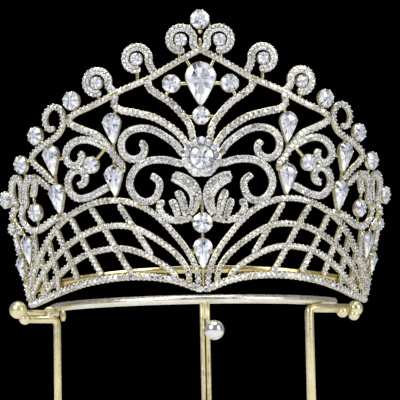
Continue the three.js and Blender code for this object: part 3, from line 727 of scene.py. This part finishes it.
def make_small_stones():
    """The small stones along the strands, as one mesh for the single rows and one for the paved ones, and
    their claws. Spots under a large stone or on top of an earlier one are left out."""
    groups, claw_groups = stone_spots()
    groups = [group[clear_of_large(group[:, :2], group[0, 2] * 0.8 + 0.3)] for group in groups if len(group)]
    spots = thinned([group for group in groups if len(group)], 0.86)
    template = chaton()
    facets = sum(len(group) for group in template.faces)
    for name, chosen in (("strand_stones", spots[:, 2] > 0.9), ("paved_stones", spots[:, 2] < 0.9)):
        part = spots[chosen]
        count = len(part)
        surface = spread(
            template, part[:, 0], part[:, 1],
            GIRDLE + rng.uniform(-0.05, 0.05, count),
            part[:, 2] * rng.uniform(0.96, 1.04, count),
            rng.uniform(0, math.pi / 4, count), rng.normal(0, 0.09, (count, 2)))
        # Each facet's grey is painted sparkle.
        surface.tone = painted_sparkle_tones(count, facets)
        new_piece(name, [surface], SMALL_CRYSTAL, smooth=False)
    claws = thinned([group for group in claw_groups if len(group)], 0.9)
    claws = claws[clear_of_large(claws[:, :2], 0.5)]
    near = np.full(len(claws), 9.0)
    for start in range(0, len(spots), 400):
        block = spots[start:start + 400]
        gap = np.linalg.norm(claws[:, None, :2] - block[None, :, :2], axis=2) - block[None, :, 2]
        near = np.minimum(near, gap.min(axis=1))
    claws = claws[near > -0.3]
    depth = np.full(len(claws), GIRDLE + 0.12)
    beads = spread(claw(), claws[:, 0], claws[:, 1], depth, claws[:, 2])
    # The claws' near-white colour is a painted glint.
    new_piece("claws", [beads], CLAW_PAINTED_GLINT)


# ---------------------------------------------------------------- large stones
def outline(stone, offset, sides):
    """A large stone's outline. A pear's head is round and its lower side falls by sin^2.4 to a point while
    its width narrows by 0.42 sin^2."""
    angle = np.arange(sides) * 2 * math.pi / sides
    radius = stone["radius"] + offset
    x, y = radius * np.cos(angle), radius * np.sin(angle)
    if "height" in stone:
        fall = np.maximum(0, -np.sin(angle))
        drop = stone["height"] + 2 * offset - 2 * radius
        x, y = x * (1 - 0.42 * fall**2), y + drop / 2 - drop * fall**2.4
    return np.stack([x, y], -1)


SETTING = {"rim": 1.98, "girdle": 2.15, "wall": 0.36}


def make_cup(stone, sides):
    """A stone's cup: an open wall from the back to a rounded rim just over the girdle, closed behind."""
    rings = [
        (-0.9, 0.0), (0.2, 0.0), (SETTING["wall"], 0.25), (SETTING["wall"], 1.5), (0.3, 1.85),
        (0.22, SETTING["rim"]), (0.14, 1.9), (0.05, 1.7), (-0.6, 1.3),
    ]
    points = np.concatenate([
        np.column_stack([outline(stone, grow, sides), np.full(sides, height)]) for grow, height in rings])
    return Surface(set_flat(stone, points), tube_faces(len(rings), sides))


def make_prongs(stone, sides):
    """Claws over a large stone's edge: beads drawn out towards its middle."""
    if "height" in stone:
        spots = np.array([0.03, 0.47, 0.25, 0.64, 0.86, 0.75]) * sides
    else:
        count = 4 if stone.get("curl") else 8
        spots = (np.arange(count) + 0.5) * sides / count
    spots = np.round(spots).astype(int) % sides
    edge = outline(stone, 0.16, sides)[spots]
    bead = lathe([(0.1, -2.0), (0.34, -1.9), (0.38, 0), (0.33, 0.28), (0.2, 0.42), (0.05, 0.48)], 8)
    points = []
    for x, y in edge:
        way = np.arctan2(y, x)
        local = bead.points.copy()
        local[:, 0] -= 0.28 * np.maximum(local[:, 2], 0)
        turned = np.column_stack([
            local[:, 0] * math.cos(way) - local[:, 1] * math.sin(way),
            local[:, 0] * math.sin(way) + local[:, 1] * math.cos(way),
            local[:, 2],
        ])
        points.append(set_flat(stone, turned + [x, y, SETTING["girdle"]]))
    faces = tube_faces(6, 8)
    offsets = np.arange(len(edge))[:, None, None] * len(bead.points)
    return Surface(np.concatenate(points), [(g + offsets).reshape(-1, g.shape[1]) for g in faces])


def painted_facet_reflections(places, stone, spin):
    """Painted reflections on a large stone's facets, from where each one lies: on a round stone they
    alternate light and grey round the middle; on a pear they are painted bright towards the tip and grey over
    the head."""
    way = np.arctan2(places[:, 1], places[:, 0]) + spin
    swing = 0.36 + 0.3 * np.sin(4 * way) * np.sign(np.sin(way * 2 + 1))
    if "height" in stone:
        fall = np.clip(0.5 - places[:, 1] / stone["height"], 0, 1)
        swing = 0.62 - 0.62 * fall + 0.22 * np.sin(5 * way)
    return np.clip(swing + rng.normal(0, 0.2, len(places)), 0, 1)


def cut_stone(stone):
    """A large stone: a straight girdle, crown facets up to a ring turned half a step, then long facets that
    meet at a point over the head, as on a rivoli."""
    sides = 14 if stone.get("curl") else 20
    edge = outline(stone, 0.1, sides)
    between = (edge + np.roll(edge, -1, 0)) / 2
    drop = stone.get("height", 2 * stone["radius"]) / 2 - stone["radius"]
    eye = np.array([0, drop * 0.8])
    radius = stone["radius"]
    inner = eye + (between - eye) * 0.66
    core = eye + (edge - eye) * 0.3
    crown = radius**0.7
    girdle = SETTING["girdle"]
    rings = [
        (edge, girdle - 0.7), (edge, girdle), (inner, girdle + 0.3 * crown), (core, girdle + 0.36 * crown)]
    points = np.vstack([
        *(np.column_stack([ring, np.full(sides, height)]) for ring, height in rings),
        [[*eye, girdle + 0.37 * crown]],
    ])
    j = np.arange(sides)
    k = (j + 1) % sides
    outer = star_faces(sides, sides, 2 * sides)
    mid = np.vstack([
        np.stack([2 * sides + j, 3 * sides + k, 3 * sides + j], -1),
        np.stack([2 * sides + j, 2 * sides + k, 3 * sides + k], -1),
    ])
    tip = np.stack([3 * sides + j, 3 * sides + k, np.full(sides, 4 * sides)], -1)
    faces = [tube_faces(2, sides)[0], j[None, ::-1], outer, mid, tip]
    spin = rng.uniform(0, 2 * math.pi)
    # Each facet's grey is a painted reflection.
    tones = [
        painted_facet_reflections(points[group].mean(axis=1), stone, spin + tier)
        for tier, group in enumerate((outer, mid, tip))]
    return Surface(set_flat(stone, points), faces, np.concatenate([np.full(sides, 0.5), [0.5], *tones]))


def make_large_stones():
    """Every large stone in place of its node, then all cups and all claws as one mesh each."""
    cups, prongs = [], []
    for name, stone in all_stones.items():
        new_piece(f"{name}_cut", [cut_stone(stone)], LARGE_CRYSTAL, [name], smooth=False)
        cups.append(make_cup(stone, 40 if "height" in stone else 28))
        prongs.append(make_prongs(stone, 40))
    new_piece("cups", cups, GOLD)
    new_piece("prongs", prongs, CLAW_PAINTED_GLINT)


def make_flower():
    """A ring of small rounds on a scalloped plate round the flower's stone. Every other round is larger and
    stands further out."""
    sides = 96
    angle = np.arange(sides) * 2 * math.pi / sides
    scallop = 8.1 + 0.65 * np.abs(np.cos(angle * FLOWER["petals"] / 2))
    ring = circle(angle)
    rings = [(0.5, 0.0), (0.97, 0.0), (1.0, 0.3), (1.0, 1.5), (0.97, 1.8), (0.6, 1.85)]
    points = np.concatenate([
        np.column_stack([ring * scallop[:, None] * grow, np.full(sides, height)]) for grow, height in rings])
    plate = Surface(set_flat(FLOWER, points), tube_faces(len(rings), sides))
    new_piece("flower_plate", [plate], CLAW_PAINTED_GLINT)
    around = (np.arange(FLOWER["petals"]) + 0.5) * 2 * math.pi / FLOWER["petals"]
    petals = []
    for index, way in enumerate(around):
        template = chaton()
        turned = template.points * FLOWER["petal"] * (1.05 if index % 2 else 0.86)
        reach = FLOWER["petal_ring"] + (0.2 if index % 2 else -0.25)
        offset = [reach * math.cos(way), reach * math.sin(way), 2.1]
        petal = Surface(set_flat(FLOWER, turned + offset), template.faces)
        # Each petal facet's grey is a painted reflection.
        petal.tone = np.clip(rng.normal(0.38, 0.34, sum(len(group) for group in petal.faces)), 0, 1)
        petals.append(petal)
    new_piece("flower_petals", petals, LARGE_CRYSTAL, smooth=False)


def make_top_bead():
    """The small gold bead between the spire's round stone and the rail."""
    turn = np.linspace(-0.97, 0.97, 9) * math.pi / 2
    profile = circle(turn) * TOP_BEAD["radius"] + [0, 1.2]
    ball = lathe(profile, 20)
    new_piece("top_bead", [Surface(set_flat(TOP_BEAD, ball.points), ball.faces)], GOLD)


def make_head_band():
    """The flat band behind the lattice: an upright oblong carried round the foot, open at the back."""
    stations = 181
    along = np.linspace(-END_ALONG, END_ALONG, stations)
    section = np.array([
        [-1.6, -1.15], [-1.45, -1.35], [1.45, -1.35], [1.6, -1.15], [1.6, -0.05], [1.45, 0.12], [-1.45, 0.12],
        [-1.6, -0.05],
    ])
    flat = on_pattern(along[:, None], section[None, :, 0])
    depth = np.broadcast_to(section[:, 1], flat.shape[:2])
    points = rolled(np.concatenate([flat, depth[..., None]], -1)).reshape(-1, 3)
    new_piece("head_band", [Surface(points, tube_faces(stations, 8))], BAND_GOLD)


# ---------------------------------------------------------------- the display stand
def tube(path, radius, sides=20):
    """A round bar along a path of points: circles of the radius square to the path. Each circle starts on the
    side that is square to the path and to a fixed slanting direction that no bar runs along."""
    path = np.asarray(path, float)
    tangent = np.gradient(path, axis=0)
    tangent /= np.linalg.norm(tangent, axis=1)[:, None]
    aside = np.cross(tangent, [0.55, 0.6, 0.58])
    aside /= np.linalg.norm(aside, axis=1)[:, None]
    other = np.cross(tangent, aside)
    angle = np.arange(sides) * 2 * math.pi / sides
    radius = np.broadcast_to(radius, len(path))[:, None, None]
    points = path[:, None, :] + radius * (
        np.cos(angle)[None, :, None] * aside[:, None, :] + np.sin(angle)[None, :, None] * other[:, None, :])
    return Surface(points.reshape(-1, 3), tube_faces(len(path), sides))


def sphere(centre, radius):
    """A ball at a place of the stand: r cos t turned about z at height r sin t."""
    turn = np.linspace(-0.98, 0.98, 17) * math.pi / 2
    ball = lathe(circle(turn) * radius, 28)
    return Surface(ball.points + stand_place(centre), ball.faces)


def loop(centre, radius, thickness):
    """A small ring of round wire that faces the front: x = (R + r cos b) cos a, z = (R + r cos b) sin a and
    y = r sin b."""
    a, b = np.meshgrid(np.arange(24) * math.pi / 12, np.arange(12) * math.pi / 6, indexing="ij")
    reach = radius + thickness * np.cos(b)
    points = np.stack([reach * np.cos(a), thickness * np.sin(b), reach * np.sin(a)], -1).reshape(-1, 3)
    ring, side = np.meshgrid(np.arange(24), np.arange(12), indexing="ij")
    here, beside = ring * 12 + side, ring * 12 + (side + 1) % 12
    next_here, next_beside = (ring + 1) % 24 * 12 + side, (ring + 1) % 24 * 12 + (side + 1) % 12
    faces = np.stack([here, next_here, next_beside, beside], -1).reshape(-1, 4)
    return Surface(points + stand_place(centre), [faces])


def stand_place(point):
    """A place of the stand, whose y counts from the cone's axis."""
    return np.asarray(point, float) + [0, SEAT[1], 0]


def on_ring(angle, height):
    """A place of the ring by its angle from the front: x = R sin a and y = axis - R cos a."""
    angle = np.radians(angle)
    x, y = STAND["ring"] * np.sin(angle), STAND["axis_y"] - STAND["ring"] * np.cos(angle)
    return np.stack(np.broadcast_arrays(x, y, height), -1)


def rounded_path(points, radius, steps=8):
    """Straight stretches joined by bends: each corner becomes a quadratic curve that starts and ends the
    radius away from it. The last point stays."""
    points = stand_place(points)
    out = [points[:1]]
    t = np.linspace(0, 1, steps)[:, None]
    for before, corner, after in zip(points[:-2], points[1:-1], points[2:]):
        start = corner + (before - corner) / np.linalg.norm(before - corner) * radius
        end = corner + (after - corner) / np.linalg.norm(after - corner) * radius
        out.append((1 - t) ** 2 * start + 2 * t * (1 - t) * corner + t**2 * end)
    out.append(points[-1:])
    return np.concatenate(out)


def make_stand():
    """The stand: a ring bar open at the back, three legs that turn out into arms with ball ends, and feet."""
    top = STAND["height"]
    angle = np.linspace(*STAND["ends"], 130)
    sag = STAND["sag"] * np.clip((-angle - STAND["sag_from"]) / STAND["sag_over"], 0, 1) ** 1.5
    ring = [tube(stand_place(on_ring(angle, top - sag)), STAND["bar"])]
    ring += [sphere(on_ring(angle[k], top - sag[k]), STAND["bar"]) for k in (0, -1)]
    # The ring's near-silver colour is a painted reflection.
    new_piece("stand_ring", ring, RING_PAINTED_PALE, ["stand"])

    legs = [on_ring(leg["angle"], 0.0) for leg in (LEFT_ARM, FRONT_LEG, RIGHT_ARM)]
    surfaces = [foot_disc(leg) for leg in legs]
    left, front, right = legs
    surfaces += front_leg(front, top) + left_leg(left) + right_leg(right)
    new_piece("stand_legs", surfaces, STAND_GOLD, ["stand"])
    # The ball's near-silver colour is a painted reflection.
    new_piece("stand_front_ball", [sphere(*FRONT_LEG["ball"])], BALL_PAINTED_REFLECTION)


def foot_disc(leg):
    """A leg's round foot: a flat disc with its edges broken."""
    reach, high, edge = STAND["foot"], STAND["foot_height"], STAND["foot_edge"]
    profile = [
        (0.4, 0), (reach - edge, 0), (reach, edge), (reach, high - 0.8), (reach - 0.8, high), (0.4, high)]
    disc = lathe(profile, 40)
    return Surface(disc.points + stand_place(leg), disc.faces)


def front_leg(foot, top):
    """A pair of thin rods, soldered together under the ring, with a short arm to its ball."""
    parts = []
    for aside in (-FRONT_LEG["apart"], FRONT_LEG["apart"]):
        heights = np.linspace(1, top, 12)
        rod = [foot + [aside, 0, height] for height in heights]
        parts.append(tube(stand_place(rod), FRONT_LEG["radius"]))
    solder = np.linspace(foot + [0, -0.25, FRONT_LEG["solder_from"]], foot + [0, -0.25, top], 6)
    parts.append(tube(stand_place(solder), FRONT_LEG["solder"]))
    arm = np.linspace(foot + [0, 0, FRONT_LEG["arm_height"]], FRONT_LEG["arm_end"], 5)
    parts.append(tube(stand_place(arm), FRONT_LEG["arm"]))
    return parts


def bent_rod(foot, tip, height, radius):
    """A rod that rises from a foot and bends over to run level to a tip."""
    corners = [foot + [0, 0, 1], foot + [0, 0, height], tip + [0, 0, height]]
    return tube(rounded_path(corners, STAND["bend"]), radius)


def left_leg(foot):
    """A leg that bends into the lower of two arm rods. The upper rod is broken by a small loop, and a stub
    stands beside it."""
    radius, upper, lower = LEFT_ARM["radius"], LEFT_ARM["upper"], LEFT_ARM["lower"]
    tip = np.array(LEFT_ARM["tip"])
    ahead = (tip - foot) / np.linalg.norm(tip - foot)
    parts = [bent_rod(foot, tip, lower, radius + 0.2)]
    for begin, finish in reversed(LEFT_ARM["rods"]):
        start = foot + ahead * begin
        end = tip if finish is None else foot + ahead * finish
        parts.append(tube(stand_place(np.linspace(start + [0, 0, upper], end + [0, 0, upper], 6)), radius))
    parts.append(loop(foot + ahead * LEFT_ARM["loop_at"] + [0, -0.4, upper + 0.2], *LEFT_ARM["loop"]))
    parts += [sphere(centre, size) for centre, size in LEFT_ARM["balls"]]
    stub = np.linspace(foot + [2.7, 0.4, 91.6], foot + [2.7, 0.4, 96.6], 5)
    parts.append(tube(stand_place(stub), np.array([0.7, 1.25, 1.35, 1.25, 0.7])))
    return parts


def right_leg(foot):
    """A leg that bends over into one thick rod, which ends in a group of three balls."""
    rod = bent_rod(foot, np.array(RIGHT_ARM["tip"]), RIGHT_ARM["height"], RIGHT_ARM["radius"] - 0.15)
    return [rod] + [sphere(centre, size) for centre, size in RIGHT_ARM["balls"]]


def stage_board(name, corners, material):
    """A flat four-cornered board of the studio, which isn't part of the object."""
    mesh = bpy.data.meshes.new(name)
    mesh.from_pydata(corners, [], [(0, 1, 2, 3)])
    mesh.materials.append(material)
    new_object(name, mesh)


def make_floor():
    """A plain square of floor under the feet."""
    half = 0.9
    paint = mottled_matt("matt_studio_paint", "#E6E6E6", "#DADADC", 110, 0.8)
    stage_board("floor", [(-half, -half, 0), (half, -half, 0), (half, half, 0), (-half, half, 0)], paint)


# ---------------------------------------------------------------- light and camera
def softbox(name, place, width, height, power):
    """A rectangular soft light that faces the tiara."""
    light = bpy.data.lights.new(name, "AREA")
    light.shape = "RECTANGLE"
    light.size, light.size_y, light.energy = width, height, power
    lamp = new_object(name, light)
    back = Vector(place) - Vector((0, 0.02, 0.15))
    lamp.location = place
    lamp.rotation_mode = "QUATERNION"
    lamp.rotation_quaternion = (-back).to_track_quat("-Z", "Y")
    lamp.visible_camera = False


# Soft boxes by name: place in metres, width, height and power in watts.
SOFTBOXES = {
    "key_left": ((-0.75, -0.8, 0.7), 0.5, 0.5, 8.5),
    "key_right": ((0.85, -0.7, 0.5), 0.35, 0.6, 4),
    "top": ((0.0, -0.1, 1.0), 0.6, 0.5, 8),
}


def make_lights():
    """Three soft boxes and a pale room."""
    for name, settings in SOFTBOXES.items():
        softbox(name, *settings)
    world = bpy.data.worlds.new("pale_studio")
    world.use_nodes = True
    sky = world.node_tree.nodes["Background"]
    sky.inputs["Color"].default_value = linear("#DCDEE2")
    sky.inputs["Strength"].default_value = 0.42
    bpy.context.scene.world = world
    bpy.context.scene.view_settings.view_transform = "Standard"


# Dark screens by name: half width, distance behind the middle, lower and upper edge, in metres.
SCREENS = {"backdrop": (0.55, 1.5, 0.002, 1.0), "dark_board": (0.28, -1.1, 0.01, 0.13)}


def make_screens():
    """Black velvet far behind the tiara, and a low dark board behind the camera that the metal mirrors."""
    velvet = mottled_matt("black_velvet", "#010101", "#000000", 40, 1.0)
    for name, (half, y, low, high) in SCREENS.items():
        stage_board(name, [(-half, y, low), (half, y, low), (half, y, high), (-half, y, high)], velvet)


# The camera's angles in degrees and its distance in millimetres, from a place aim off the foot's centre.
CAMERA = {
    "azimuth": -3.076, "elevation": -3.0, "distance": 837.47, "pitch": 6.635, "yaw": -0.25, "roll": -1.146,
    "lens": 156.7, "sensor": 36.0, "aim": [0, -20, 0],
}


def make_camera():
    """The camera stands in front, a little below the tiara's foot, and looks slightly up."""
    az, el = math.radians(CAMERA["azimuth"]), math.radians(CAMERA["elevation"])
    yaw, pitch = math.radians(CAMERA["azimuth"] + CAMERA["yaw"]), math.radians(CAMERA["pitch"])
    back = np.array([math.sin(az) * math.cos(el), -math.cos(az) * math.cos(el), math.sin(el)])
    ahead = Vector((-math.sin(yaw) * math.cos(pitch), math.cos(yaw) * math.cos(pitch), math.sin(pitch)))
    right = ahead.cross(Vector((0, 0, 1))).normalized()
    up = right.cross(ahead)
    roll = math.radians(CAMERA["roll"])
    rolled_right = right * math.cos(roll) + up * math.sin(roll)
    rolled_up = up * math.cos(roll) - right * math.sin(roll)
    data = bpy.data.cameras.new("camera")
    data.lens, data.sensor_width = CAMERA["lens"], CAMERA["sensor"]
    data.clip_start, data.clip_end = 0.05, 20
    camera = new_object("camera", data)
    place = Matrix((rolled_right, rolled_up, -ahead)).transposed().to_4x4()
    place.translation = Vector((SEAT + CAMERA["aim"] + back * CAMERA["distance"]) * MM)
    camera.matrix_world = place
    bpy.context.scene.camera = camera


make_strand_metal()
make_small_stones()
make_large_stones()
make_flower()
make_top_bead()
make_head_band()
make_stand()
make_floor()
make_screens()
make_lights()
make_camera()
